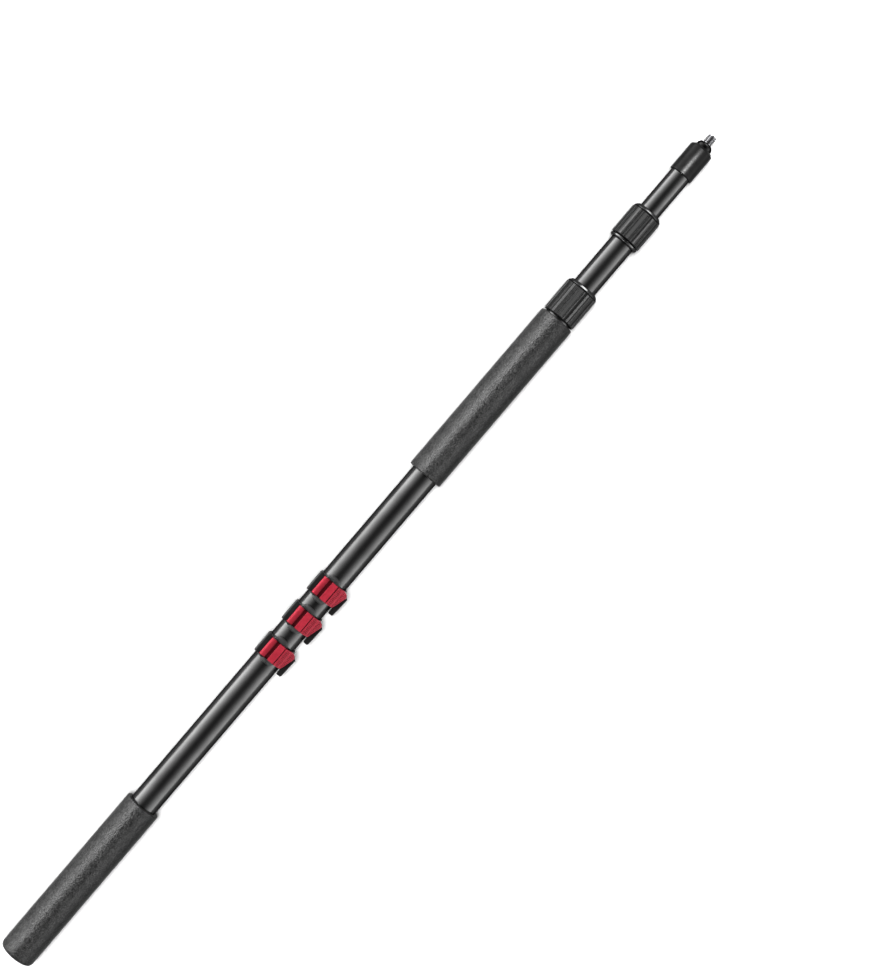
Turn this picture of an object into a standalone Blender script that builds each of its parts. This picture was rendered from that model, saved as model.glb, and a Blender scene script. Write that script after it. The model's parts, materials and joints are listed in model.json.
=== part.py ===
"""Telescopic boom pole with two twist locks, foam grips, three cable clips and a threaded tip.

The pole lies along X, resting on its two foam grips: butt at -X, threaded tip at +X, +Z up.
The origin is at the middle of the base of the whole object's box.  Units are metres.
Stations along the pole are measured from the butt face and turned into X by place().
The pole is shown a little way out: each inner tube stands a few centimetres out of its lock.
"""

import math

import bmesh
import bpy
from mathutils import Matrix, Vector

MM = 0.001
COLLECTION_NAME = "boom_pole"
CUTTER_COLLECTION_NAME = "boom_pole_cutters"

# --- driving dimensions -------------------------------------------------------------------

ROUND_STEPS = 36                      # sides of a tube
GRIP_STEPS = 32                       # sides of a foam grip, so that each side is a small flat
SMALL_STEPS = 24                      # sides of the stud and the pins
SIDES_PER_FLUTE = 4
WELD = 1e-6                           # merge distance for turned profiles and outlines
GAP = 0.3 * MM                        # between pieces that touch
BOND_GAP = 0.2 * MM                   # between pieces that are bonded or pressed together
CHAMFER = 0.5 * MM
SMOOTH_ANGLE = math.radians(30)
RIM = 0.2 * MM                        # broken edge of a thin ring
QUARTER_TURN = math.radians(90)

OUTER_TUBE_R = 14.0 * MM
OUTER_TUBE_WALL = 1.3 * MM
MIDDLE_TUBE_R = 12.3 * MM
MIDDLE_TUBE_WALL = 1.15 * MM
INNER_TUBE_R = 10.65 * MM
INNER_TUBE_WALL = 1.1 * MM

GRIP_R = 18.25 * MM
GRIP_CAP = 7.0 * MM                   # foam over the end of the tube
GRIP_EDGE = 1.2 * MM                  # rounding of a grip's rim
BUTT_EDGE = 3.0 * MM                  # rounding at the butt
EDGE_STEPS = 3

PLUG_FLANGE = 1.7 * MM
PLUG_SPIGOT = 15.0 * MM
BUSH_FLANGE = 5.0 * MM
BUSH_SPIGOT = 12.0 * MM
BUSH_WALL = 1.6 * MM

# stations from the butt face
BUTT_GRIP_END = 188.3 * MM
FRONT_GRIP_START = 602.6 * MM
FRONT_GRIP_END = 797.1 * MM
LOWER_COLLAR_START = 799.3 * MM
LOWER_COLLAR_END = 837.4 * MM
STOP_RING_START = 893.3 * MM
UPPER_COLLAR_START = 896.9 * MM
UPPER_COLLAR_END = 932.6 * MM
TIP_SLEEVE_START = 979.1 * MM
TIP_SLEEVE_END = 1012.0 * MM
TIP_NECK_END = 1017.3 * MM
STUD_END = 1027.3 * MM
MIDDLE_TUBE_START = 90.0 * MM
INNER_TUBE_START = 155.0 * MM

CLIP_STATIONS = (383.1 * MM, 422.8 * MM, 459.3 * MM)

# twist locks, from the wider tube outwards and from butt to tip
TUBE_SETBACK = 15.0 * MM              # from the collar's tip end back to the tube's end
FERRULE_INSET = 1.0 * MM              # from the collar's butt end to the ferrule
FERRULE_LIP = 0.5 * MM                # ferrule beyond the tube's end
FERRULE_WALL = 0.9 * MM
THREAD_HEIGHT = 0.25 * MM
THREAD_RIB_PITCH = 4.0 * MM           # the locks' threads are drawn as a few plain ribs
RIDGE_HALF = 0.4                      # half a thread ridge's foot, as a share of the pitch
COLLET_LENGTH = 7.0 * MM
COLLET_SHOULDER = 2.0 * MM
COLLET_NOSE_WALL = 1.0 * MM
COLLET_SLOTS = 6
SLOT_WIDTH = 0.8 * MM
SLOT_REACH = 8.0 * MM                 # the slot cutter's length and depth
SLOT_FROM_BORE = 2.0 * MM
WASHER_THICKNESS = 0.8 * MM
CORE_WALL = 0.65 * MM
MOUTH_CLEARANCE = 0.75 * MM
COLLAR_EDGE = 0.6 * MM
BEZEL_LENGTH = 3.2 * MM
BEZEL_RIM = 0.3 * MM
BEZEL_NOSE = 0.8 * MM
BEZEL_STEP = 0.5 * MM                 # the bezel's rim inside the flutes' crest
BEZEL_DROP = 2.7 * MM                 # the bezel's nose inside the flutes' crest
FLUTE_BAR_R = 1.25 * MM
FLUTE_BAR_SIDES = 10
FLUTE_DEPTH = 0.475 * MM
LOWER_GRIP_R = 17.5 * MM              # crest of the lower collar's flutes
UPPER_GRIP_R = 16.05 * MM
LOWER_FLUTES = 14
UPPER_FLUTES = 11
LOWER_FLUTE_LEAN = 2.1                # degrees that a flute's crest leans towards +Y from the top
UPPER_FLUTE_LEAN = 0.9
STOP_RING_R = 15.3 * MM

TIP_SLEEVE_R = 12.27 * MM
TIP_SLEEVE_TAPER = 2.4 * MM
TIP_SLEEVE_LIP = 0.9 * MM             # the taper's end above the neck's hole
TIP_TUBE_SETBACK = 6.0 * MM
INSERT_HEAD = 3.0 * MM
INSERT_PLUG = 22.0 * MM
TIP_NECK_R = 8.2 * MM
NECK_EDGE = 1.0 * MM
STUD_R = 4.76 * MM                    # 3/8 inch thread
STUD_PITCH = 1.5875 * MM              # 16 threads to the inch
STUD_THREAD_HEIGHT = 0.9 * MM
STUD_SHANK = 12.0 * MM                # plain stud inside the insert, from the tube's end
STUD_POINT = 0.8 * MM

CLIP_HALF = 10.75 * MM                # half the width of a clip's band
BAND_BORE_R = 14.25 * MM
BAND_R = 15.75 * MM
TAIL_REACH = 21.3 * MM                # how far a clip's tail stands out from the pole's axis

# a turned part's own +X points down, so the top of the pole is at half a turn
LOWER_FLUTE_PHASE = 180.0 - LOWER_FLUTE_LEAN + 180.0 / LOWER_FLUTES
UPPER_FLUTE_PHASE = 180.0 - UPPER_FLUTE_LEAN + 180.0 / UPPER_FLUTES

AXIS_Z = GRIP_R * math.cos(math.pi / GRIP_STEPS)
AXIS_Y = (TAIL_REACH - AXIS_Z) / 2
HALF_LENGTH = STUD_END / 2


def place(station):
    """X of a point at this distance from the butt face."""
    return station - HALF_LENGTH


# --- scene and materials ------------------------------------------------------------------

def clear_scene():
    for item in list(bpy.data.objects):
        bpy.data.objects.remove(item, do_unlink=True)


def new_collection(name):
    collection = bpy.data.collections.new(name)
    bpy.context.scene.collection.children.link(collection)
    return collection


def material(name, colour, roughness, metallic=0.0):
    found = bpy.data.materials.new(name)
    found.use_nodes = True
    shader = found.node_tree.nodes["Principled BSDF"]
    shader.inputs["Base Color"].default_value = (*colour, 1.0)
    shader.inputs["Roughness"].default_value = roughness
    shader.inputs["Metallic"].default_value = metallic
    found.diffuse_color = (*colour, 1.0)
    return found


def finish_part(part, look):
    """Gives a part its own material and shades its round faces smooth."""
    part.data.materials.clear()
    part.data.materials.append(look)
    part.data.shade_smooth()
    part.data.set_sharp_from_angle(angle=SMOOTH_ANGLE)
    return part


# --- shape helpers ------------------------------------------------------------------------

def pole_frame(steps):
    """Turns a part's own Z axis into the pole's X axis, with a flat side at the bottom."""
    lay_down = Matrix.Rotation(QUARTER_TURN, 4, "Y")
    half_step = Matrix.Rotation(math.pi / steps, 4, "Z")
    return Matrix.Translation((0.0, AXIS_Y, AXIS_Z)) @ lay_down @ half_step


def turned(name, outside, inside=(), steps=ROUND_STEPS):
    """A turned part.  Both profiles are (station, radius) points from butt to tip.

    With no inside profile the part is solid and its outside starts and ends on the axis.
    """
    loop = list(reversed(outside)) + list(inside)
    mesh = bpy.data.meshes.new(name)
    bm = bmesh.new()
    corners = [bm.verts.new((radius, 0.0, place(station))) for station, radius in loop]
    for first, second in zip(corners, corners[1:]):
        bm.edges.new((first, second))
    if inside:
        bm.edges.new((corners[-1], corners[0]))
    bm.to_mesh(mesh)
    bm.free()
    part = bpy.data.objects.new(name, mesh)
    PARTS.objects.link(part)
    screw = part.modifiers.new("turn", "SCREW")
    screw.axis = "Z"
    screw.angle = math.tau
    screw.steps = steps
    screw.render_steps = steps
    screw.use_merge_vertices = True
    screw.merge_threshold = WELD
    screw.use_smooth_shade = True
    part.matrix_world = pole_frame(steps)
    return part


def ring_profile(start, end, radius, chamfer=CHAMFER):
    """The outside of a plain ring with chamfered rims."""
    return [(start, radius - chamfer), (start + chamfer, radius),
            (end - chamfer, radius), (end, radius - chamfer)]


def threaded_profile(start, end, root, height, pitch):
    """The outside of a thread, as ridges that stand on the root radius."""
    points = [(start, root)]
    turns = int((end - start) / pitch)
    first = start + (end - start - turns * pitch) / 2
    for turn in range(turns):
        crest = first + (turn + 0.5) * pitch
        points.append((crest - RIDGE_HALF * pitch, root))
        points.append((crest, root + height))
        points.append((crest + RIDGE_HALF * pitch, root))
    points.append((end, root))
    return points


def baked(source):
    """A new mesh of an object with its modifiers, or its curve, worked out and its seams welded."""
    bpy.context.view_layer.update()
    evaluated = source.evaluated_get(bpy.context.evaluated_depsgraph_get())
    mesh = bpy.data.meshes.new_from_object(evaluated)
    bm = bmesh.new()
    bm.from_mesh(mesh)
    bmesh.ops.remove_doubles(bm, verts=bm.verts, dist=WELD)
    bmesh.ops.recalc_face_normals(bm, faces=bm.faces)
    bm.to_mesh(mesh)
    bm.free()
    return mesh


def prism(name, outline, thickness, matrix, collection):
    """A flat outline with the given thickness, centred on the plane of the outline."""
    curve = bpy.data.curves.new(name + "_outline", "CURVE")
    curve.dimensions = "2D"
    curve.fill_mode = "BOTH"
    curve.extrude = thickness / 2
    spline = curve.splines.new("POLY")
    spline.points.add(len(outline) - 1)
    for point, (across, up) in zip(spline.points, outline):
        point.co = (across, up, 0.0, 1.0)
    spline.use_cyclic_u = True
    sketch = bpy.data.objects.new(name + "_sketch", curve)
    collection.objects.link(sketch)
    mesh = baked(sketch)
    bpy.data.objects.remove(sketch, do_unlink=True)
    part = bpy.data.objects.new(name, mesh)
    collection.objects.link(part)
    part.matrix_world = matrix
    return part


def cylinder(name, radius, length, matrix, collection, steps=SMALL_STEPS):
    """A plain cylinder along its own Z axis."""
    mesh = bpy.data.meshes.new(name)
    bm = bmesh.new()
    bmesh.ops.create_cone(bm, cap_ends=True, segments=steps, radius1=radius, radius2=radius,
                          depth=length)
    bm.to_mesh(mesh)
    bm.free()
    part = bpy.data.objects.new(name, mesh)
    collection.objects.link(part)
    part.matrix_world = matrix
    return part


def hide_cutter(cutter):
    cutter.hide_render = True
    cutter.display_type = "WIRE"
    return cutter


def combine(part, other, operation):
    boolean = part.modifiers.new(operation.lower(), "BOOLEAN")
    boolean.operation = operation
    boolean.solver = "EXACT"
    boolean.object = hide_cutter(other)
    return part


def arc(radius, start_deg, end_deg, steps, centre=(0.0, 0.0)):
    """Points along an arc, both ends included."""
    points = []
    for step in range(steps + 1):
        angle = math.radians(start_deg + (end_deg - start_deg) * step / steps)
        points.append((centre[0] + radius * math.cos(angle), centre[1] + radius * math.sin(angle)))
    return points


# --- tubes and grips ----------------------------------------------------------------------

def tube(name, start, end, radius, wall, look):
    outside = ring_profile(start, end, radius, RIM)
    inside = [(start, radius - wall), (end, radius - wall)]
    return finish_part(turned(name, outside, inside), look)


def rounded_rim(station, radius, edge, direction):
    """Points of a rounded rim.  direction is +1 where the solid runs towards the tip."""
    points = []
    for step in range(EDGE_STEPS + 1):
        angle = QUARTER_TURN * step / EDGE_STEPS
        along = station + direction * edge * (1.0 - math.sin(angle))
        points.append((along, radius - edge * (1.0 - math.cos(angle))))
    points.reverse()
    return points if direction > 0 else list(reversed(points))


def build_grips(look):
    bore = OUTER_TUBE_R + BOND_GAP
    outside = [(0.0, 0.0)]
    outside += rounded_rim(0.0, GRIP_R, BUTT_EDGE, +1)
    outside += rounded_rim(BUTT_GRIP_END, GRIP_R, GRIP_EDGE, -1)
    outside += [(BUTT_GRIP_END, bore), (GRIP_CAP, bore), (GRIP_CAP, 0.0)]
    butt = turned("butt_grip", outside, steps=GRIP_STEPS)
    finish_part(butt, look)
    outside = rounded_rim(FRONT_GRIP_START, GRIP_R, GRIP_EDGE, +1)
    outside += rounded_rim(FRONT_GRIP_END, GRIP_R, GRIP_EDGE, -1)
    inside = [(FRONT_GRIP_START, bore), (FRONT_GRIP_END, bore)]
    front = turned("front_grip", outside, inside, steps=GRIP_STEPS)
    finish_part(front, look)


def build_end_plug(look):
    """Closes the butt end of the outer tube, inside the foam.  Returns where the tube starts."""
    start = GRIP_CAP + GAP
    shoulder = start + PLUG_FLANGE
    spigot = OUTER_TUBE_R - OUTER_TUBE_WALL - GAP
    end = shoulder + PLUG_SPIGOT
    outside = [(start, 0.0), (start, OUTER_TUBE_R - CHAMFER), (start + CHAMFER, OUTER_TUBE_R),
               (shoulder, OUTER_TUBE_R), (shoulder, spigot), (end - CHAMFER, spigot),
               (end, spigot - CHAMFER), (end, 0.0)]
    finish_part(turned("tube_end_plug", outside), look)
    return shoulder + GAP


def guide_bush(name, tube_start, tube_bore, bore_around, look):
    """A flanged bush pushed into the inner end of a tube, sliding in the tube around it."""
    flange_r = bore_around - BOND_GAP
    spigot_r = tube_bore - GAP
    hole_r = spigot_r - BUSH_WALL
    shoulder = tube_start - GAP
    start = shoulder - BUSH_FLANGE
    end = shoulder + BUSH_SPIGOT
    outside = [(start, flange_r - CHAMFER), (start + CHAMFER, flange_r), (shoulder, flange_r),
               (shoulder, spigot_r), (end, spigot_r)]
    inside = [(start, hole_r), (end, hole_r)]
    finish_part(turned(name, outside, inside), look)


# --- twist locks --------------------------------------------------------------------------

def slot_cutter(name, station, radius):
    """Radial bars set round the pole at this station, as one cutter."""
    mesh = bpy.data.meshes.new(name)
    bm = bmesh.new()
    bar = Matrix.Diagonal((SLOT_REACH, SLOT_WIDTH, SLOT_REACH, 1.0))
    offset = Matrix.Translation((radius, 0.0, place(station)))
    for index in range(COLLET_SLOTS):
        turn = Matrix.Rotation(math.tau * index / COLLET_SLOTS, 4, "Z")
        bmesh.ops.create_cube(bm, size=1.0, matrix=turn @ offset @ bar)
    bm.to_mesh(mesh)
    bm.free()
    cutter = bpy.data.objects.new(name, mesh)
    CUTTERS.objects.link(cutter)
    cutter.matrix_world = pole_frame(ROUND_STEPS)
    return cutter


def flute_cutter(name, count, start, end, crest, phase_deg):
    """Round bars along the pole whose inner sides cut the flutes of a collar."""
    bar_reach = crest + FLUTE_BAR_R - FLUTE_DEPTH
    mesh = bpy.data.meshes.new(name)
    bm = bmesh.new()
    for index in range(count):
        angle = math.radians(phase_deg) + math.tau * index / count
        centre = Vector((math.cos(angle), math.sin(angle), 0.0)) * bar_reach
        centre.z = place((start + end) / 2)
        spot = Matrix.Translation(centre) @ Matrix.Rotation(angle, 4, "Z")
        bmesh.ops.create_cone(bm, cap_ends=True, segments=FLUTE_BAR_SIDES, radius1=FLUTE_BAR_R,
                              radius2=FLUTE_BAR_R, depth=end - start, matrix=spot)
    bm.to_mesh(mesh)
    bm.free()
    cutter = bpy.data.objects.new(name, mesh)
    CUTTERS.objects.link(cutter)
    lay_down = Matrix.Rotation(QUARTER_TURN, 4, "Y")
    cutter.matrix_world = Matrix.Translation((0.0, AXIS_Y, AXIS_Z)) @ lay_down
    return cutter


def build_lock(prefix, start, end, tube_r, next_tube_r, grip_r, flutes, phase_deg, looks):
    """A twist lock: ferrule on the wider tube, collet, washer, and the collar over them.

    Returns the station where the wider tube ends.
    """
    ferrule_in = tube_r + BOND_GAP
    ferrule_r = ferrule_in + FERRULE_WALL
    core_bore = ferrule_r + THREAD_HEIGHT + GAP
    core_r = core_bore + CORE_WALL
    mouth_r = next_tube_r + MOUTH_CLEARANCE
    tube_end = end - TUBE_SETBACK

    ferrule_start = start + FERRULE_INSET
    ferrule_end = tube_end + FERRULE_LIP
    outside = threaded_profile(ferrule_start, ferrule_end, ferrule_r, THREAD_HEIGHT, THREAD_RIB_PITCH)
    inside = [(ferrule_start, ferrule_in), (ferrule_end, ferrule_in)]
    finish_part(turned(prefix + "_lock_ferrule", outside, inside), looks["ferrule"])

    collet_start = ferrule_end + GAP
    collet_end = collet_start + COLLET_LENGTH
    collet_in = next_tube_r + GAP
    outside = [(collet_start, ferrule_r), (collet_start + COLLET_SHOULDER, ferrule_r),
               (collet_end, collet_in + COLLET_NOSE_WALL)]
    inside = [(collet_start, collet_in), (collet_end, collet_in)]
    collet = turned(prefix + "_collet", outside, inside)
    slots = slot_cutter(prefix + "_collet_slots", collet_end, next_tube_r + SLOT_FROM_BORE)
    combine(collet, slots, "DIFFERENCE")
    finish_part(collet, looks["nylon"])

    washer_start = collet_end + GAP
    washer_end = washer_start + WASHER_THICKNESS
    outside = [(washer_start, core_bore - GAP), (washer_end, core_bore - GAP)]
    inside = [(washer_start, collet_in + GAP), (washer_end, collet_in + GAP)]
    finish_part(turned(prefix + "_thrust_washer", outside, inside), looks["washer"])

    wall_start = washer_end + GAP
    bezel_start = end - BEZEL_LENGTH
    grip_end = bezel_start - GAP
    outside = ring_profile(start + GAP, grip_end, core_r, RIM)
    inside = [(start + GAP, core_bore), (wall_start, core_bore), (wall_start, mouth_r),
              (grip_end, mouth_r)]
    finish_part(turned(prefix + "_collar_core", outside, inside), looks["core"])

    outside = ring_profile(start, grip_end, grip_r, COLLAR_EDGE)
    inside = [(start, core_r + BOND_GAP), (grip_end, core_r + BOND_GAP)]
    grip = turned(prefix + "_collar_grip", outside, inside, steps=SIDES_PER_FLUTE * flutes)
    bars = flute_cutter(prefix + "_flutes", flutes, start - BEZEL_LENGTH, end, grip_r, phase_deg)
    combine(grip, bars, "DIFFERENCE")
    finish_part(grip, looks["grip"])

    outside = [(bezel_start, grip_r - COLLAR_EDGE), (bezel_start + BEZEL_RIM, grip_r - BEZEL_STEP),
               (end - BEZEL_NOSE, grip_r - BEZEL_DROP), (end, grip_r - BEZEL_DROP - BEZEL_RIM)]
    inside = [(bezel_start, mouth_r), (end, mouth_r)]
    finish_part(turned(prefix + "_collar_bezel", outside, inside), looks["bezel"])
    return tube_end


def build_stop_ring(look):
    """The ring on the middle tube that stops it from sliding into the lower lock."""
    end = UPPER_COLLAR_START - GAP
    outside = ring_profile(STOP_RING_START, end, STOP_RING_R, COLLAR_EDGE)
    bore = MIDDLE_TUBE_R + GAP
    inside = [(STOP_RING_START, bore), (end, bore)]
    finish_part(turned("middle_stop_ring", outside, inside), look)


# --- tip ----------------------------------------------------------------------------------

def build_tip(looks):
    """The sleeve, the insert and the stud on the inner tube.  Returns where that tube ends."""
    sleeve_bore = INNER_TUBE_R + GAP
    tube_end = TIP_SLEEVE_END - TIP_TUBE_SETBACK
    neck_hole = TIP_NECK_R + GAP
    outside = [(TIP_SLEEVE_START, TIP_SLEEVE_R - RIM), (TIP_SLEEVE_START + RIM, TIP_SLEEVE_R),
               (TIP_SLEEVE_END - TIP_SLEEVE_TAPER, TIP_SLEEVE_R),
               (TIP_SLEEVE_END, neck_hole + TIP_SLEEVE_LIP)]
    head_end = tube_end + INSERT_HEAD
    inside = [(TIP_SLEEVE_START, sleeve_bore), (head_end + GAP, sleeve_bore),
              (head_end + GAP, neck_hole), (TIP_SLEEVE_END, neck_hole)]
    finish_part(turned("tip_sleeve", outside, inside), looks["sleeve"])

    plug_r = INNER_TUBE_R - INNER_TUBE_WALL - GAP
    stud_hole = STUD_R + GAP
    start = tube_end - INSERT_PLUG
    outside = [(start, plug_r - CHAMFER), (start + CHAMFER, plug_r), (tube_end + GAP, plug_r),
               (tube_end + GAP, INNER_TUBE_R), (head_end, INNER_TUBE_R), (head_end, TIP_NECK_R),
               (TIP_NECK_END - NECK_EDGE, TIP_NECK_R), (TIP_NECK_END - RIM, TIP_NECK_R - RIM),
               (TIP_NECK_END, TIP_NECK_R - NECK_EDGE)]
    inside = [(start, stud_hole), (TIP_NECK_END, stud_hole)]
    finish_part(turned("tip_insert", outside, inside), looks["insert"])

    root = STUD_R - STUD_THREAD_HEIGHT
    shank_start = tube_end - STUD_SHANK
    outside = [(shank_start, 0.0), (shank_start, STUD_R), (TIP_NECK_END, STUD_R)]
    outside += threaded_profile(TIP_NECK_END + GAP, STUD_END - STUD_POINT, root, STUD_THREAD_HEIGHT,
                                STUD_PITCH)
    outside += [(STUD_END, root - STUD_POINT), (STUD_END, 0.0)]
    finish_part(turned("thread_stud", outside, steps=SMALL_STEPS), looks["stud"])
    return tube_end


# --- cable clips --------------------------------------------------------------------------
# A clip's section is drawn in (y, z) from the pole's axis; its plan is drawn in (x, y) from the
# clip's own middle.  The band wraps the tube from the hinge block on the +Y side, under the tube,
# to an arm on the -Y side that carries the finger tail.

PIN_YZ = (7.0 * MM, 21.6 * MM)
PIN_R = 1.1 * MM
PIN_END = 0.3 * MM                    # pin beyond each cheek
PIN_HOLE_R = 1.35 * MM
KNUCKLE_R = 2.8 * MM
KNUCKLE_ARC = (195.0, 450.0)          # degrees
KNUCKLE_STEPS = 16
LATCH_HALF = 9.9 * MM
CHEEK_INNER = 10.2 * MM
CHEEK_OUTER = 11.3 * MM
CHEEK_R = 2.5 * MM
CHEEK_ARC = (20.0, 200.0)
CHEEK_STEPS = 8
CHEEK_FOOT = 15.0 * MM
CHEEK_HEEL_Y = 6.6 * MM
BLOCK_Y = 10.1 * MM
BLOCK_TOP = 19.0 * MM
BLOCK_SHOULDER = (14.4 * MM, 17.6 * MM)   # y where the top ends, z where the outside starts
CHEEK_ROOT_Y = BLOCK_Y + 1.5 * MM
ARM_END_DEG = 155.0 - 360.0
BAND_OUTER_STEPS = 26
BAND_INNER_STEPS = 28
TAIL_THICKNESS = 4.0 * MM
TAIL_HEIGHT = 4.4 * MM                # middle of the tail above the pole's axis
FINGER_THICKNESS = 3.4 * MM
FINGER_HEIGHT = 10.2 * MM
CUT_THROUGH = 40.0 * MM               # longer than any piece of a clip

PAD_HALF_LENGTH = 15.0 * MM
PAD_HALF_WIDTH = 9.2 * MM
PAD_Y = 0.3 * MM
PAD_THICKNESS = 1.15 * MM
PAD_POWER = 2 / 3                     # superellipse: 1 is an ellipse, 0 a rectangle
PAD_STEPS = 32
PAD_PLAN_HEIGHT = 10.0 * MM
PAD_PLAN_THICKNESS = 20.0 * MM

# the latch's section after its knuckle, millimetres
LATCH_TOP = ((3.3, 24.4), (3.3, 21.3), (0.5, 21.3), (0.5, 24.4), (-6.4, 24.4), (-8.2, 23.7))
LATCH_SLOPE = ((-11.6, 20.6), (-14.2, 16.0), (-15.3, 11.5), (-15.4, 8.0))
LATCH_UNDERSIDE = ((-13.7, 8.0), (-13.4, 11.5), (-12.2, 15.2), (-10.0, 19.0), (-9.0, 20.5))
CABLE_ROOM = ((-9.0, 22.3), (-0.2, 22.3), (-0.2, 20.4))
# plans, millimetres
FINGER_PLAN = ((-8.0, -13.9), (9.9, -13.9), (9.9, -14.8), (8.4, -17.2), (5.8, -19.4), (-8.0, -15.6))
TAIL_PLAN = ((-16.3, -16.0), (-15.4, -14.9), (-11.0, -15.0), (-10.0, -14.3), (-2.0, -14.3),
             (-1.0, -16.6), (5.4, -19.8), (4.9, -21.3), (-15.2, -20.3), (-16.3, -19.3))


def in_metres(points):
    return [(first * MM, second * MM) for first, second in points]


def section_frame(x):
    """Puts a (y, z) section at this X, with its thickness along X."""
    turn = Matrix(((0, 0, 1, 0), (1, 0, 0, 0), (0, 1, 0, 0), (0, 0, 0, 1)))
    return Matrix.Translation((x, AXIS_Y, AXIS_Z)) @ turn


def plan_frame(x, height):
    """Puts an (x, y) plan at this X and this height above the pole's axis."""
    return Matrix.Translation((x, AXIS_Y, AXIS_Z + height))


def along_pole(x, y, z):
    """A cylinder's frame, along X through this point measured from the pole's axis."""
    return Matrix.Translation((x, AXIS_Y + y, AXIS_Z + z)) @ Matrix.Rotation(QUARTER_TURN, 4, "Y")


def band_outline():
    block_deg = math.degrees(math.acos(BLOCK_Y / BAND_BORE_R))
    points = [(BLOCK_Y, BLOCK_TOP), (BLOCK_SHOULDER[0], BLOCK_TOP), (BAND_R, BLOCK_SHOULDER[1])]
    points += arc(BAND_R, 0, ARM_END_DEG, BAND_OUTER_STEPS)
    points += arc(BAND_BORE_R, ARM_END_DEG, block_deg, BAND_INNER_STEPS)
    return points


def cheek_outline():
    """The cheek that carries an end of the pin; it grows out of the hinge block."""
    points = [(CHEEK_ROOT_Y, CHEEK_FOOT), (CHEEK_ROOT_Y, BLOCK_TOP)]
    points += arc(CHEEK_R, *CHEEK_ARC, CHEEK_STEPS, PIN_YZ)
    points += [(CHEEK_HEEL_Y, CHEEK_FOOT)]
    return points


def latch_outline():
    """The latch's section: knuckle, grooved top, thumb end and the room for the cable."""
    points = arc(KNUCKLE_R, *KNUCKLE_ARC, KNUCKLE_STEPS, PIN_YZ)
    return points + in_metres(LATCH_TOP + LATCH_SLOPE + LATCH_UNDERSIDE + CABLE_ROOM)


def pad_outline():
    """A superellipse, longer along the pole."""
    points = []
    for step in range(PAD_STEPS):
        angle = math.tau * step / PAD_STEPS
        across = math.copysign(abs(math.cos(angle)) ** PAD_POWER, math.cos(angle))
        up = math.copysign(abs(math.sin(angle)) ** PAD_POWER, math.sin(angle))
        points.append((PAD_HALF_LENGTH * across, PAD_Y + PAD_HALF_WIDTH * up))
    return points


def build_clip(number, station, looks):
    prefix = "clip_%d" % number
    x = place(station)
    band = prism(prefix + "_band", band_outline(), 2 * CLIP_HALF, section_frame(x), PARTS)
    tail = prism(prefix + "_tail", in_metres(TAIL_PLAN), TAIL_THICKNESS, plan_frame(x, TAIL_HEIGHT),
                 CUTTERS)
    combine(band, tail, "UNION")
    for side, direction in (("butt", -1), ("tip", 1)):
        cheek_frame = section_frame(x + direction * (CHEEK_INNER + CHEEK_OUTER) / 2)
        cheek = prism(prefix + "_cheek_" + side, cheek_outline(), CHEEK_OUTER - CHEEK_INNER,
                      cheek_frame, CUTTERS)
        combine(band, cheek, "UNION")
    pin_frame = along_pole(x, *PIN_YZ)
    hole = cylinder(prefix + "_pin_hole", PIN_HOLE_R, CUT_THROUGH, pin_frame, CUTTERS)
    combine(band, hole, "DIFFERENCE")
    finish_part(band, looks["band"])

    pin = cylinder(prefix + "_pin", PIN_R, 2 * (CHEEK_OUTER + PIN_END), pin_frame, PARTS)
    finish_part(pin, looks["pin"])

    latch = prism(prefix + "_latch", latch_outline(), 2 * LATCH_HALF, section_frame(x), PARTS)
    finger = prism(prefix + "_finger", in_metres(FINGER_PLAN), FINGER_THICKNESS,
                   plan_frame(x, FINGER_HEIGHT), CUTTERS)
    combine(latch, finger, "UNION")
    latch_hole = cylinder(prefix + "_latch_hole", PIN_HOLE_R, CUT_THROUGH, pin_frame, CUTTERS)
    combine(latch, latch_hole, "DIFFERENCE")
    hinge_point = Vector((x, AXIS_Y + PIN_YZ[0], AXIS_Z + PIN_YZ[1]))
    move_origin(latch, hinge_point)
    finish_part(latch, looks["latch"])

    pad_in = OUTER_TUBE_R + BOND_GAP
    ends = (station - CUT_THROUGH / 2, station + CUT_THROUGH / 2)
    pad = turned(prefix + "_pad", [(end, pad_in + PAD_THICKNESS) for end in ends],
                 [(end, pad_in) for end in ends])
    pad_plan = prism(prefix + "_pad_plan", pad_outline(), PAD_PLAN_THICKNESS,
                     plan_frame(x, PAD_PLAN_HEIGHT), CUTTERS)
    combine(pad, pad_plan, "INTERSECT")
    finish_part(pad, looks["pad"])


def move_origin(part, point):
    """Moves a part's origin to a world point and leaves its shape where it is."""
    shift = part.matrix_world.inverted() @ point
    part.data.transform(Matrix.Translation(-shift))
    part.matrix_world = part.matrix_world @ Matrix.Translation(shift)


# --- the pole -----------------------------------------------------------------------------

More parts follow.
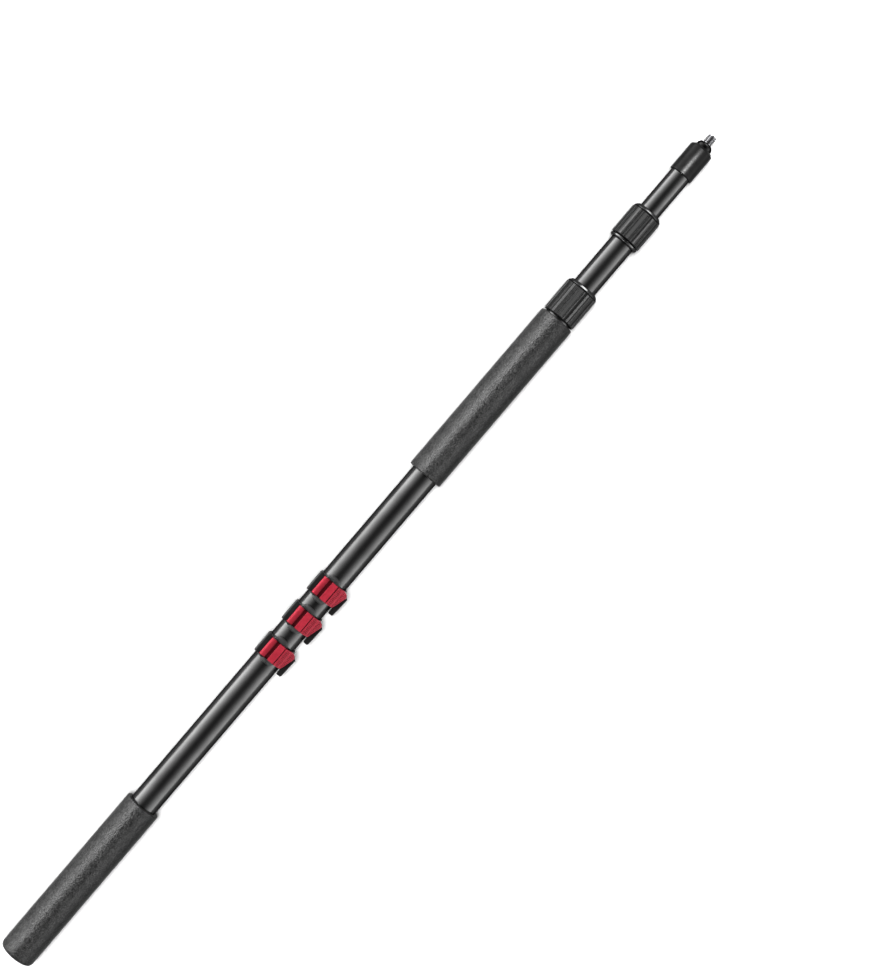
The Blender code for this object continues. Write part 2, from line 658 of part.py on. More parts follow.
def main():
    anodised = material("anodised_aluminium", (0.035, 0.036, 0.038), 0.3, 0.8)
    foam = material("grip_foam", (0.05, 0.05, 0.052), 0.95)
    black_plastic = material("black_plastic", (0.02, 0.02, 0.021), 0.4)
    collar_rubber = material("collar_rubber", (0.03, 0.03, 0.031), 0.6)
    nylon = material("natural_nylon", (0.75, 0.73, 0.66), 0.5)
    steel = material("plated_steel", (0.6, 0.6, 0.6), 0.3, 1.0)
    alloy = material("bright_alloy", (0.5, 0.5, 0.52), 0.25, 1.0)
    red_plastic = material("red_plastic", (0.62, 0.03, 0.05), 0.4)
    pad_rubber = material("pad_rubber", (0.02, 0.02, 0.02), 0.5)

    build_grips(foam)
    outer_start = build_end_plug(black_plastic)
    lock_looks = {"ferrule": alloy, "nylon": nylon, "washer": steel, "core": black_plastic,
                  "grip": collar_rubber, "bezel": anodised}
    outer_end = build_lock("lower", LOWER_COLLAR_START, LOWER_COLLAR_END, OUTER_TUBE_R,
                           MIDDLE_TUBE_R, LOWER_GRIP_R, LOWER_FLUTES, LOWER_FLUTE_PHASE, lock_looks)
    middle_end = build_lock("upper", UPPER_COLLAR_START, UPPER_COLLAR_END, MIDDLE_TUBE_R,
                            INNER_TUBE_R, UPPER_GRIP_R, UPPER_FLUTES, UPPER_FLUTE_PHASE, lock_looks)
    build_stop_ring(anodised)
    inner_end = build_tip({"sleeve": black_plastic, "insert": anodised, "stud": steel})

    tube("outer_tube", outer_start, outer_end, OUTER_TUBE_R, OUTER_TUBE_WALL, anodised)
    tube("middle_tube", MIDDLE_TUBE_START, middle_end, MIDDLE_TUBE_R, MIDDLE_TUBE_WALL, anodised)
    tube("inner_tube", INNER_TUBE_START, inner_end, INNER_TUBE_R, INNER_TUBE_WALL, anodised)
    guide_bush("middle_guide_bush", MIDDLE_TUBE_START, MIDDLE_TUBE_R - MIDDLE_TUBE_WALL,
               OUTER_TUBE_R - OUTER_TUBE_WALL, nylon)
    guide_bush("inner_guide_bush", INNER_TUBE_START, INNER_TUBE_R - INNER_TUBE_WALL,
               MIDDLE_TUBE_R - MIDDLE_TUBE_WALL, nylon)

    clip_looks = {"band": black_plastic, "pin": steel, "latch": red_plastic, "pad": pad_rubber}
    for number, station in enumerate(CLIP_STATIONS, start=1):
        build_clip(number, station, clip_looks)


clear_scene()
PARTS = new_collection(COLLECTION_NAME)
CUTTERS = new_collection(CUTTER_COLLECTION_NAME)
main()
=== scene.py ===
"""Finished looks of the telescopic boom pole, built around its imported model.

Lengths are in metres.  The pole lies along X and every round piece is turned about its axis.
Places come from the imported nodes' boxes; the constants below are details those boxes don't hold.
"""

import json
import math

import bmesh
import bpy
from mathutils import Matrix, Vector, noise

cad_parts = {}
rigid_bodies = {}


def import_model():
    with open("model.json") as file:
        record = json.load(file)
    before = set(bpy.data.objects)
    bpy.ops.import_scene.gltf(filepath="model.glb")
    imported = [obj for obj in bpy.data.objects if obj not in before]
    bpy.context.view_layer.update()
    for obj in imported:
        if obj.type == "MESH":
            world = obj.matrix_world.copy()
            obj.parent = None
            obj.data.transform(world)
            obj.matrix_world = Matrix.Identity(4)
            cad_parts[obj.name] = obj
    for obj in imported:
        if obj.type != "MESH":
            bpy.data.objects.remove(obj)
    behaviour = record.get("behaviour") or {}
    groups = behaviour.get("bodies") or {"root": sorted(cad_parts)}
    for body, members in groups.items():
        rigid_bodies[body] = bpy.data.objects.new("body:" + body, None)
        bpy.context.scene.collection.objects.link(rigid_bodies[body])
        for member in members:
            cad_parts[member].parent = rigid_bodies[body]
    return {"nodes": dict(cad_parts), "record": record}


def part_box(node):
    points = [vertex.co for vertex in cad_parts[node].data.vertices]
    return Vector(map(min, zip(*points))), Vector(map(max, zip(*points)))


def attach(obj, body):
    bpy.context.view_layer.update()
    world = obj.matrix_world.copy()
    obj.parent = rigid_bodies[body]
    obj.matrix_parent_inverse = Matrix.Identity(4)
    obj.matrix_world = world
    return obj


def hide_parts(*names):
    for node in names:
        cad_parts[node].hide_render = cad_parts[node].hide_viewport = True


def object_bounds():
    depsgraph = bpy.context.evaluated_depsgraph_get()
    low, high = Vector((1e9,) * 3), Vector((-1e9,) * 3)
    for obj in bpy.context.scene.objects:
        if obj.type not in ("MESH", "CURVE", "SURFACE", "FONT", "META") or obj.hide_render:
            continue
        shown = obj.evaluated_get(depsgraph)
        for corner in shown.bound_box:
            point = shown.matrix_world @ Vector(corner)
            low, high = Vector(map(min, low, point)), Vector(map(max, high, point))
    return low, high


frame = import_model()
cad_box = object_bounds()

MM = 0.001
INCH = 25.4 * MM
TURN = math.tau


# --- where things are ---------------------------------------------------------------------

def span(node):
    """(butt end, tip end, radius) of a round node."""
    low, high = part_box(node)
    return low.x, high.x, (high.z - low.z) / 2


def middle(node):
    low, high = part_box(node)
    return (low + high) / 2


AXIS = middle("outer_tube")
CLIPS = (1, 2, 3)
ROUND_STEPS = 128                     # sides of a plain turned piece
SHARP_DEG = 35.0                      # a crease sharper than this stays a hard edge


# --- shape helpers ------------------------------------------------------------------------

LONGEST_CORNER = 0.45                 # share of an edge that one rounded corner may take up


def in_mm(*points):
    """An outline given in millimetres, in metres."""
    return [(a * MM, b * MM) for a, b in points]


def new_object(name, bm, sharp_deg=SHARP_DEG):
    bmesh.ops.recalc_face_normals(bm, faces=bm.faces)
    mesh = bpy.data.meshes.new(name)
    bm.to_mesh(mesh)
    bm.free()
    mesh.shade_smooth()
    mesh.set_sharp_from_angle(angle=math.radians(sharp_deg))
    piece = bpy.data.objects.new(name, mesh)
    bpy.context.scene.collection.objects.link(piece)
    return piece


def rounded(outline, radius, steps=4, closed=True):
    """The outline with each corner rounded; short edges get smaller corners."""
    points = [Vector(point) for point in outline]
    count = len(points)
    result = []
    for index, corner in enumerate(points):
        if not closed and index in (0, count - 1):
            result.append(tuple(corner))
            continue
        before = points[index - 1]
        after = points[(index + 1) % count]
        to_before = before - corner
        to_after = after - corner
        reach = min(radius, to_before.length * LONGEST_CORNER, to_after.length * LONGEST_CORNER)
        start = corner + to_before.normalized() * reach
        end = corner + to_after.normalized() * reach
        for step in range(steps + 1):
            t = step / steps
            point = start * (1 - t) ** 2 + corner * (2 * t * (1 - t)) + end * t ** 2
            result.append(tuple(point))
    return result


def filled(outline, pitch):
    """The outline with extra points, none further apart than pitch."""
    result = []
    for first, second in zip(outline, outline[1:]):
        pieces = max(1, math.ceil((Vector(second) - Vector(first)).length / pitch))
        for piece in range(pieces):
            t = piece / pieces
            result.append((first[0] * (1 - t) + second[0] * t, first[1] * (1 - t) + second[1] * t))
    result.append(outline[-1])
    return result


def lathe(name, outline, steps=ROUND_STEPS, shape=None, closed=True, sharp_deg=SHARP_DEG):
    """Turns an (x, radius) outline about the pole's axis.

    A closed outline makes a ring.  An open one starts and ends on the axis and makes a solid.
    shape(x, radius, angle) gives a point's final radius.
    """
    bm = bmesh.new()
    rings = []
    for x, radius in outline:
        if radius <= 0.0:
            rings.append([bm.verts.new((x, AXIS.y, AXIS.z))] * steps)
            continue
        ring = []
        for step in range(steps):
            angle = TURN * step / steps
            reach = shape(x, radius, angle) if shape else radius
            ring.append(bm.verts.new((x, AXIS.y + reach * math.cos(angle),
                                      AXIS.z + reach * math.sin(angle))))
        rings.append(ring)
    pairs = list(zip(rings, rings[1:]))
    if closed:
        pairs.append((rings[-1], rings[0]))
    for first, second in pairs:
        for step in range(steps):
            after = (step + 1) % steps
            corners = []
            for corner in (first[step], first[after], second[after], second[step]):
                if corner not in corners:
                    corners.append(corner)
            if len(corners) > 2:
                bm.faces.new(corners)
    return new_object(name, bm, sharp_deg)


def ring_outline(start, end, outer, inner, edge=0.3 * MM):
    corners = [(start, inner), (start, outer), (end, outer), (end, inner)]
    return rounded(corners, edge, 3)


def inset(outline, amount):
    """The closed outline moved inwards along its corners' bisectors."""
    points = [Vector(point) for point in outline]
    area = sum(a.x * b.y - b.x * a.y for a, b in zip(points, points[1:] + points[:1]))
    side = 1.0 if area > 0 else -1.0
    result = []
    for index, point in enumerate(points):
        before = (point - points[index - 1]).normalized()
        after = (points[(index + 1) % len(points)] - point).normalized()
        normal = Vector((-(before.y + after.y), before.x + after.x)) * side
        if normal.length > 1e-9:
            normal.normalize()
        result.append(point + normal * amount)
    return result


def rounded_stations(start, end, edge, pitch=None, steps=3):
    """(place, inset) of the sections of a loft with rounded ends."""
    stations = []
    for step in range(steps + 1):
        angle = math.pi / 2 * step / steps
        stations.append((start + edge * (1 - math.cos(angle)), edge * (1 - math.sin(angle))))
    if pitch:
        count = max(2, round((end - start - 2 * edge) / pitch))
        for index in range(1, count):
            stations.append((start + edge + (end - start - 2 * edge) * index / count, 0.0))
    for step in range(steps, -1, -1):
        angle = math.pi / 2 * step / steps
        stations.append((end - edge * (1 - math.cos(angle)), edge * (1 - math.sin(angle))))
    return stations


def loft(name, outline, stations, to_world, shape=None, sharp_deg=SHARP_DEG):
    """Carries a closed flat outline through the stations and caps both ends.

    to_world(a, b, along) places a point; shape(a, b, along) may move it first.
    """
    bm = bmesh.new()
    sections = []
    for along, depth in stations:
        section = []
        for point in inset(outline, depth):
            a, b = shape(point.x, point.y, along) if shape else (point.x, point.y)
            section.append(bm.verts.new(to_world(a, b, along)))
        sections.append(section)
    count = len(outline)
    for first, second in zip(sections, sections[1:]):
        for index in range(count):
            after = (index + 1) % count
            bm.faces.new((first[index], first[after], second[after], second[index]))
    bm.faces.new(list(reversed(sections[0])))
    bm.faces.new(sections[-1])
    return new_object(name, bm, sharp_deg)


def union(piece, *others):
    """Joins other closed shapes into a piece."""
    for other in others:
        boolean = piece.modifiers.new("join", "BOOLEAN")
        boolean.operation = "UNION"
        boolean.solver = "EXACT"
        boolean.object = other
    bpy.context.view_layer.update()
    evaluated = piece.evaluated_get(bpy.context.evaluated_depsgraph_get())
    mesh = bpy.data.meshes.new_from_object(evaluated)
    piece.modifiers.clear()
    piece.data = mesh
    mesh.shade_smooth()
    mesh.set_sharp_from_angle(angle=math.radians(SHARP_DEG))
    for other in others:
        bpy.data.objects.remove(other, do_unlink=True)
    return piece


def arc(centre, radius, start_deg, end_deg, steps):
    points = []
    for step in range(steps + 1):
        angle = math.radians(start_deg + (end_deg - start_deg) * step / steps)
        points.append((centre[0] + radius * math.cos(angle), centre[1] + radius * math.sin(angle)))
    return points


def settle(piece, look, body, *nodes):
    """Gives a piece its material, body and the nodes that it stands for."""
    piece.data.materials.clear()
    piece.data.materials.append(LOOKS[look])
    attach(piece, body)
    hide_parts(*nodes)
    return piece


# --- materials ----------------------------------------------------------------------------

MOTTLE = (0.3, 0.7)                   # the part of a noise's range that it really fills


def grey(level):
    return (level, level, level)


class Look:
    """A Principled material and the few node recipes that the looks below share."""

    def __init__(self, name, roughness, metallic=0.0, **uniform):
        self.material = bpy.data.materials.new(name)
        self.material.use_nodes = True
        self.tree = self.material.node_tree
        self.shader = self.tree.nodes["Principled BSDF"]
        self.shader.inputs["Roughness"].default_value = roughness
        self.shader.inputs["Metallic"].default_value = metallic
        for socket, value in uniform.items():
            self.shader.inputs[socket.replace("_", " ")].default_value = value
        coordinates = self.tree.nodes.new("ShaderNodeTexCoord")
        self.coordinates = coordinates.outputs["Object"]

    def link(self, source, target):
        self.tree.links.new(source, target)

    def stretched(self, scale):
        mapping = self.tree.nodes.new("ShaderNodeMapping")
        mapping.inputs["Scale"].default_value = scale
        self.link(self.coordinates, mapping.inputs["Vector"])
        return mapping.outputs["Vector"]

    def noise(self, scale, detail=3.0, stretch=(1, 1, 1), roughness=0.5):
        node = self.tree.nodes.new("ShaderNodeTexNoise")
        node.inputs["Scale"].default_value = scale
        node.inputs["Detail"].default_value = detail
        node.inputs["Roughness"].default_value = roughness
        self.link(self.stretched(stretch), node.inputs["Vector"])
        return node.outputs["Fac"]

    def cells(self, scale, feature="F1"):
        node = self.tree.nodes.new("ShaderNodeTexVoronoi")
        node.feature = feature
        node.inputs["Scale"].default_value = scale
        self.link(self.coordinates, node.inputs["Vector"])
        return node.outputs["Distance"]

    def ramp(self, source, *stops):
        """Maps 0..1 to colours; stops are (place, colour)."""
        node = self.tree.nodes.new("ShaderNodeValToRGB")
        ramp = node.color_ramp
        while len(ramp.elements) < len(stops):
            ramp.elements.new(0.5)
        for element, (place, colour) in zip(ramp.elements, stops):
            element.position = place
            element.color = (*colour, 1.0)
        self.link(source, node.inputs["Fac"])
        return node.outputs["Color"]

    def mottle(self, source, low, high):
        """A colour that wanders between low and high."""
        return self.ramp(source, (MOTTLE[0], low), (MOTTLE[1], high))

    def between(self, source, low, high, start=MOTTLE[0], end=MOTTLE[1]):
        node = self.tree.nodes.new("ShaderNodeMapRange")
        node.inputs["From Min"].default_value = start
        node.inputs["From Max"].default_value = end
        node.inputs["To Min"].default_value = low
        node.inputs["To Max"].default_value = high
        self.link(source, node.inputs["Value"])
        return node.outputs["Result"]

    def blend(self, factor, first, second, mode="MIX"):
        node = self.tree.nodes.new("ShaderNodeMix")
        node.data_type = "RGBA"
        node.blend_type = mode
        for socket, source in (("Factor", factor), ("A", first), ("B", second)):
            target = next(s for s in node.inputs if s.name == socket and s.enabled)
            if isinstance(source, (int, float)):
                target.default_value = source
            elif isinstance(source, tuple):
                target.default_value = (*source, 1.0)
            else:
                self.link(source, target)
        return next(s for s in node.outputs if s.enabled)

    def edges(self):
        """Above 0.5 on convex edges, below it in hollows."""
        node = self.tree.nodes.new("ShaderNodeNewGeometry")
        return node.outputs["Pointiness"]

    def bump(self, height, distance, strength=1.0, below=None):
        node = self.tree.nodes.new("ShaderNodeBump")
        node.inputs["Distance"].default_value = distance
        node.inputs["Strength"].default_value = strength
        self.link(height, node.inputs["Height"])
        if below is not None:
            self.link(below, node.inputs["Normal"])
        return node.outputs["Normal"]

    def set(self, socket, source):
        self.link(source, self.shader.inputs[socket])
        return self


def anodised_tube():
    look = Look("anodised_tube_look", 0.3, 0.85, Specular_Tint=(0.12, 0.12, 0.12, 1.0))
    drawn = look.noise(900.0, 2.0, (0.02, 1.0, 1.0))
    cloud = look.noise(45.0, 4.0)
    colour = look.mottle(cloud, grey(0.056), grey(0.070))
    look.set("Base Color", colour)
    fine = look.noise(220.0, 3.0, (0.15, 1.0, 1.0))
    look.set("Roughness", look.between(fine, 0.18, 0.27))
    return look.set("Normal", look.bump(drawn, 0.00002, 0.35)).material


def grip_foam():
    look = Look("grip_foam_look", 0.45, Specular_IOR_Level=0.13)
    cells = look.cells(700.0)
    grain = look.noise(900.0, 4.0, roughness=0.7)
    cloud = look.noise(110.0, 3.0)
    base = look.ramp(grain, (0.40, grey(0.001)), (0.62, grey(0.017)))
    mottled = look.blend(1.0, base, look.mottle(cloud, grey(0.8), grey(1.2)),
                         "MULTIPLY")
    pores = look.ramp(cells, (0.1, grey(0.4)), (0.55, grey(1.2)))
    look.set("Base Color", look.blend(1.0, mottled, pores, "MULTIPLY"))
    look.set("Roughness", look.between(grain, 0.34, 0.46))
    soft = look.bump(grain, 0.0005, 0.45)
    return look.set("Normal", look.bump(cells, 0.0004, 0.5, below=soft)).material


def collar_rubber():
    look = Look("collar_rubber_look", 0.3, Specular_IOR_Level=0.16)
    cloud = look.noise(260.0, 4.0)
    colour = look.mottle(cloud, grey(0.002), grey(0.005))
    # painted shade: where pointiness is low, in the valleys between the lobes, the colour is
    # darkened to near black
    hollow = look.between(look.edges(), 1.0, 0.0, 0.44, 0.495)
    look.set("Base Color", look.blend(hollow, colour, grey(0.001)))
    grain = look.noise(2600.0, 2.0)
    look.set("Roughness", look.between(cloud, 0.20, 0.28))
    return look.set("Normal", look.bump(grain, 0.00006, 0.4)).material


def black_plastic():
    look = Look("black_plastic_look", 0.4, Specular_IOR_Level=0.3)
    cloud = look.noise(120.0, 3.0)
    # painted shade: convex edges are darkened to near black, a dark outline that stands for shade
    painted_edge_shade = look.between(look.edges(), 0.0, 1.0, 0.53, 0.62)
    base = look.mottle(cloud, grey(0.014), grey(0.020))
    look.set("Base Color", look.blend(painted_edge_shade, base, grey(0.004)))
    grain = look.noise(3200.0, 3.0)
    look.set("Roughness", look.between(cloud, 0.36, 0.48))
    return look.set("Normal", look.bump(grain, 0.00004, 0.5)).material


def tip_plastic():
    look = Look("tip_plastic_look", 0.5, Specular_IOR_Level=0.1)
    cloud = look.noise(140.0, 3.0)
    colour = look.mottle(cloud, grey(0.002), grey(0.004))
    look.set("Base Color", colour)
    look.set("Roughness", look.between(look.noise(300.0), 0.32, 0.42))
    return look.set("Normal", look.bump(look.noise(2800.0), 0.00004, 0.5)).material


def pad_rubber():
    look = Look("pad_rubber_look", 0.3, Specular_IOR_Level=0.3)
    cloud = look.noise(200.0, 3.0)
    # painted shade: the pad's rounded rim is darkened to near black, a dark outline round the pad
    rim = look.between(look.edges(), 0.0, 1.0, 0.51, 0.56)
    colour = look.mottle(cloud, grey(0.060), grey(0.080))
    look.set("Base Color", look.blend(rim, colour, grey(0.004)))
    look.set("Roughness", look.between(cloud, 0.24, 0.36))
    return look.set("Normal", look.bump(look.noise(2400.0), 0.00003, 0.5)).material


def black_alloy():
    look = Look("black_alloy_look", 0.16, 0.9, Specular_Tint=(0.4, 0.4, 0.4, 1.0))
    turned = look.noise(2500.0, 2.0, (1.0, 0.02, 0.02))
    cloud = look.noise(90.0, 3.0)
    colour = look.mottle(cloud, grey(0.055), grey(0.07))
    look.set("Base Color", colour)
    look.set("Roughness", look.between(turned, 0.12, 0.2))
    return look.set("Normal", look.bump(turned, 0.00001, 0.3)).material


def black_neck():
    look = Look("black_neck_look", 0.2, 0.9, Specular_Tint=(0.1, 0.1, 0.1, 1.0))
    turned = look.noise(2500.0, 2.0, (1.0, 0.02, 0.02))
    cloud = look.noise(90.0, 3.0)
    colour = look.mottle(cloud, grey(0.018), grey(0.026))
    look.set("Base Color", colour)
    look.set("Roughness", look.between(turned, 0.16, 0.26))
    return look.set("Normal", look.bump(turned, 0.00001, 0.3)).material


def red_plastic():
    look = Look("red_plastic_look", 0.42, Specular_IOR_Level=0.12)
    cloud = look.noise(320.0, 3.0)
    # painted shade: convex edges of the latch are darkened to a dark red outline
    rim = look.between(look.edges(), 0.0, 0.8, 0.52, 0.60)
    # painted shade: where pointiness is low, in the groove and other hollows, the red is darkened to
    # near black
    hollow = look.between(look.edges(), 1.0, 0.0, 0.42, 0.49)
    base = look.mottle(cloud, (0.20, 0.024, 0.038), (0.24, 0.030, 0.047))
    rimmed = look.blend(rim, base, (0.05, 0.003, 0.006))
    look.set("Base Color", look.blend(hollow, rimmed, (0.02, 0.001, 0.002)))
    grain = look.noise(2600.0, 3.0)
    look.set("Roughness", look.between(cloud, 0.34, 0.44))
    return look.set("Normal", look.bump(grain, 0.00006, 0.6)).material


def plated_steel():
    look = Look("plated_steel_look", 0.25, 1.0)
    turned = look.noise(1800.0, 2.0, (1.0, 0.05, 0.05))
    colour = look.mottle(look.noise(120.0), (0.20, 0.20, 0.205), (0.28, 0.28, 0.285))
    look.set("Base Color", colour)
    look.set("Roughness", look.between(turned, 0.18, 0.34))
    return look.set("Normal", look.bump(turned, 0.00001, 0.4)).material


def bright_alloy():
    look = Look("bright_alloy_look", 0.3, 1.0)
    turned = look.noise(2200.0, 2.0, (1.0, 0.03, 0.03))
    colour = look.mottle(look.noise(90.0), (0.52, 0.53, 0.55), (0.66, 0.67, 0.69))
    look.set("Base Color", colour)
    look.set("Roughness", look.between(turned, 0.22, 0.4))
    return look.set("Normal", look.bump(turned, 0.00001, 0.5)).material


def natural_nylon():
    look = Look("natural_nylon_look", 0.45, Subsurface_Weight=0.2)
    colour = look.mottle(look.noise(150.0), (0.66, 0.63, 0.54), (0.76, 0.74, 0.66))
    look.set("Base Color", colour)
    look.set("Roughness", look.between(look.noise(300.0), 0.38, 0.52))
    return look.set("Normal", look.bump(look.noise(2000.0), 0.00003, 0.4)).material


def floor_paint():
    look = Look("floor_look", 0.8)
    colour = look.mottle(look.noise(3.0, 4.0), grey(0.145), grey(0.155))
    look.set("Base Color", colour)
    return look.set("Normal", look.bump(look.noise(400.0), 0.0002, 0.1)).material


LOOKS = {
    "tube": anodised_tube(), "foam": grip_foam(), "rubber": collar_rubber(),
    "plastic": black_plastic(), "pad": pad_rubber(), "black_alloy": black_alloy(),
    "red": red_plastic(), "steel": plated_steel(), "alloy": bright_alloy(),
    "nylon": natural_nylon(), "floor": floor_paint(), "tip": tip_plastic(),
    "neck": black_neck(),
}


# --- stage, light and camera --------------------------------------------------------------

PHOTO_LENS = 81.6                     # mm, on the sensor below
SENSOR_WIDTH = 36.0
VIEW_RANGE = (0.05, 100.0)            # nearest and furthest that the camera sees
CAMERA_HEIGHT = 2.10                  # above the pole's axis
POLE_LEAN = math.radians(49.55)       # the pole's slope in the picture
AIM_FROM_BUTT = 609.1 * MM
AIM_ASIDE = 22.4 * MM
FLOOR_SIZE = 40.0
PRINT_GAMMA = 0.7                     # a crisp catalogue print
SKY_STRENGTH = 12.5
FLOOR_LIGHT = 16.0
FLOOR_LIGHT_SPREAD = math.radians(20.0)
END_WALLS = (0.55, 0.85)              # how far along the pole a view must lean to meet the pale end
END_LEVEL = 0.14
# (degrees from overhead, + towards +Y; brightness)
SKY = ((-90, 7.0), (-72, 7.0), (-50, 3.7), (-34, 1.6), (-18, 0.25), (4, 0.1), (18, 1.1),
       (36, 3.4), (54, 6.6), (74, 12.5), (90, 12.0))

# the pieces that a light can be kept to
GRIPS = ("butt_grip_foam", "front_grip_foam")
SLEEVES = ("lower_collar_sleeve", "upper_collar_sleeve")
RINGS = ("lower_collar_end_ring", "upper_collar_end_ring", "middle_stop_ring_turned",
         "tip_neck_turned")
TIP = ("tip_sleeve_moulded",)
# (name, place, where it points, width, height, brightness, the only pieces it lights)
PANELS = (
    ("tip_panel", (2.6, -0.1, 0.35), (0.5, 0.0, 0.1), 1.5, 0.4, 18.0, RINGS),
    ("butt_panel", (-2.6, 0.5, 0.35), (-0.3, 0.0, 0.1), 1.2, 0.4, 18.0, RINGS),
    ("foam_strip", (0.0, 0.95, 1.35), (0.0, 0.0, 0.0), 3.0, 0.36, 84.0, GRIPS),
    ("foam_fill", (0.0, -1.2, 1.1), (0.0, 0.0, 0.0), 3.0, 0.30, 22.0, GRIPS),
    ("crest_strip", (0.3, 0.1, 2.6), (0.3, 0.0, 0.0), 3.0, 1.7, 13.0, SLEEVES),
    ("crest_far", (0.3, 2.2, 1.25), (0.3, 0.0, 0.0), 3.0, 0.6, 24.0, SLEEVES),
    ("crest_near", (0.3, -2.1, 1.4), (0.3, 0.0, 0.0), 3.0, 0.6, 22.0, SLEEVES),
    ("tip_strip", (0.5, -0.05, 2.6), (0.5, 0.0, 0.0), 1.0, 0.9, 190.0, TIP),
)


def build_camera():
    data = bpy.data.cameras.new("camera")
    data.lens = PHOTO_LENS
    data.sensor_width = SENSOR_WIDTH
    data.clip_start, data.clip_end = VIEW_RANGE
    camera = bpy.data.objects.new("camera", data)
    bpy.context.scene.collection.objects.link(camera)
    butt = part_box("butt_grip")[0].x
    camera.location = (butt + AIM_FROM_BUTT, AXIS.y - AIM_ASIDE, AXIS.z + CAMERA_HEIGHT)
    camera.rotation_euler = (0.0, 0.0, -POLE_LEAN)
    bpy.context.scene.camera = camera


def panel(name, place, aim, width, height, brightness, pieces):
    """A soft rectangular light for the named pieces alone; brightness is its radiance."""
    data = bpy.data.lights.new(name, "AREA")
    data.shape = "RECTANGLE"
    data.size = width
    data.size_y = height
    data.energy = brightness * math.pi * width * height
    light = bpy.data.objects.new(name, data)
    bpy.context.scene.collection.objects.link(light)
    light.location = place
    towards = (Vector(aim) - Vector(place)).normalized()
    light.rotation_euler = towards.to_track_quat("-Z", "Y").to_euler()
    light.visible_camera = False
    lit = bpy.data.collections.new(name + "_pieces")
    for piece in pieces:
        lit.objects.link(bpy.data.objects[piece])
    light.light_linking.receiver_collection = lit


def light_floor(floor):
    """A background light for the floor alone, which nothing shades."""
    data = bpy.data.lights.new("floor_light", "SUN")
    data.energy = FLOOR_LIGHT
    data.angle = FLOOR_LIGHT_SPREAD
    light = bpy.data.objects.new("floor_light", data)
    bpy.context.scene.collection.objects.link(light)
    lit = bpy.data.collections.new("floor_only")
    lit.objects.link(floor)
    light.light_linking.receiver_collection = lit
    light.light_linking.blocker_collection = bpy.data.collections.new("nothing")


def build_stage():
    bm = bmesh.new()
    bmesh.ops.create_grid(bm, x_segments=1, y_segments=1, size=FLOOR_SIZE / 2)
    floor = new_object("floor", bm)
    floor.location.z = cad_box[0].z
    floor.data.materials.append(LOOKS["floor"])
    light_floor(floor)
    build_sky()
    view = bpy.context.scene.view_settings
    view.view_transform = "Standard"
    view.gamma = PRINT_GAMMA


def build_sky():
    """Studio walls that run the pole's whole length: dark overhead, brightest low on the +Y side."""
    world = bpy.data.worlds.new("studio")
    bpy.context.scene.world = world
    world.use_nodes = True
    nodes = world.node_tree.nodes
    links = world.node_tree.links
    background = nodes["Background"]
    coordinates = nodes.new("ShaderNodeTexCoord")
    split = nodes.new("ShaderNodeSeparateXYZ")
    links.new(coordinates.outputs["Generated"], split.inputs["Vector"])
    lean = nodes.new("ShaderNodeMath")
    lean.operation = "ARCTAN2"
    links.new(split.outputs["Y"], lean.inputs[0])
    links.new(split.outputs["Z"], lean.inputs[1])
    share = nodes.new("ShaderNodeMapRange")
    share.inputs["From Min"].default_value = -math.pi / 2
    share.inputs["From Max"].default_value = math.pi / 2
    links.new(lean.outputs["Value"], share.inputs["Value"])
    ramp = nodes.new("ShaderNodeValToRGB")
    ramp.color_ramp.interpolation = "B_SPLINE"
    while len(ramp.color_ramp.elements) < len(SKY):
        ramp.color_ramp.elements.new(0.5)
    for element, (lean_deg, brightness) in zip(ramp.color_ramp.elements, SKY):
        level = brightness / SKY_STRENGTH
        element.position = 0.5 + lean_deg / 180.0
        element.color = (level, level, level, 1.0)
    links.new(share.outputs["Result"], ramp.inputs["Fac"])
    sideways = nodes.new("ShaderNodeMath")
    sideways.operation = "ABSOLUTE"
    links.new(split.outputs["X"], sideways.inputs[0])
    beyond = nodes.new("ShaderNodeMapRange")
    beyond.interpolation_type = "SMOOTHSTEP"
    beyond.inputs["From Min"].default_value = END_WALLS[0]
    beyond.inputs["From Max"].default_value = END_WALLS[1]
    links.new(sideways.outputs["Value"], beyond.inputs["Value"])
    walls = nodes.new("ShaderNodeMix")
    walls.data_type = "RGBA"
    for socket in walls.inputs:
        if socket.enabled and socket.name == "B":
            socket.default_value = (END_LEVEL, END_LEVEL, END_LEVEL, 1.0)
        if socket.enabled and socket.name == "A":
            links.new(ramp.outputs["Color"], socket)
        if socket.enabled and socket.name == "Factor":
            links.new(beyond.outputs["Result"], socket)
    mixed = next(socket for socket in walls.outputs if socket.enabled)
    links.new(mixed, background.inputs["Color"])
    background.inputs["Strength"].default_value = SKY_STRENGTH


def build_accents():
    """Strip lights along the pole that bring out the foam, the lobes and the tip."""
    for values in PANELS:
        panel(*values)


# --- tubes and grips ----------------------------------------------------------------------

TUBE_WALL = 1.2 * MM
TUBE_EDGE = 0.25 * MM
SLIP = 0.15 * MM                      # between a sleeve and what it sits on
FOAM_STEPS = 180
FOAM_PITCH = 0.65 * MM
FOAM_ROOM = 0.13 * MM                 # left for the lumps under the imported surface
FOAM_SLIP = 0.1 * MM
FOAM_CORNER = 1.5 * MM
# (height, how fine it is along the pole, how fine it is round the pole)
FOAM_LUMPS = (0.05 * MM, 60.0, 1.2)
FOAM_GRAIN = (0.12 * MM, 640.0, 11.6)
BUTT_CORNER = 1.3 * MM
BUTT_DIMPLE = 0.25 * MM
BUTT_DEPTH = 7.0 * MM                 # foam between the tube's end and the outside
# (in from the butt end, down from the outside) in mm
BUTT_DOME = ((0.1, 6.0), (0.5, 2.6), (1.6, 0.9), (4.0, 0.0))


def build_tube(node, body):
    start, end, radius = span(node)
    outline = ring_outline(start, end, radius, radius - TUBE_WALL, TUBE_EDGE)
    piece = lathe(node + "_skin", outline)
    settle(piece, "tube", body, node)


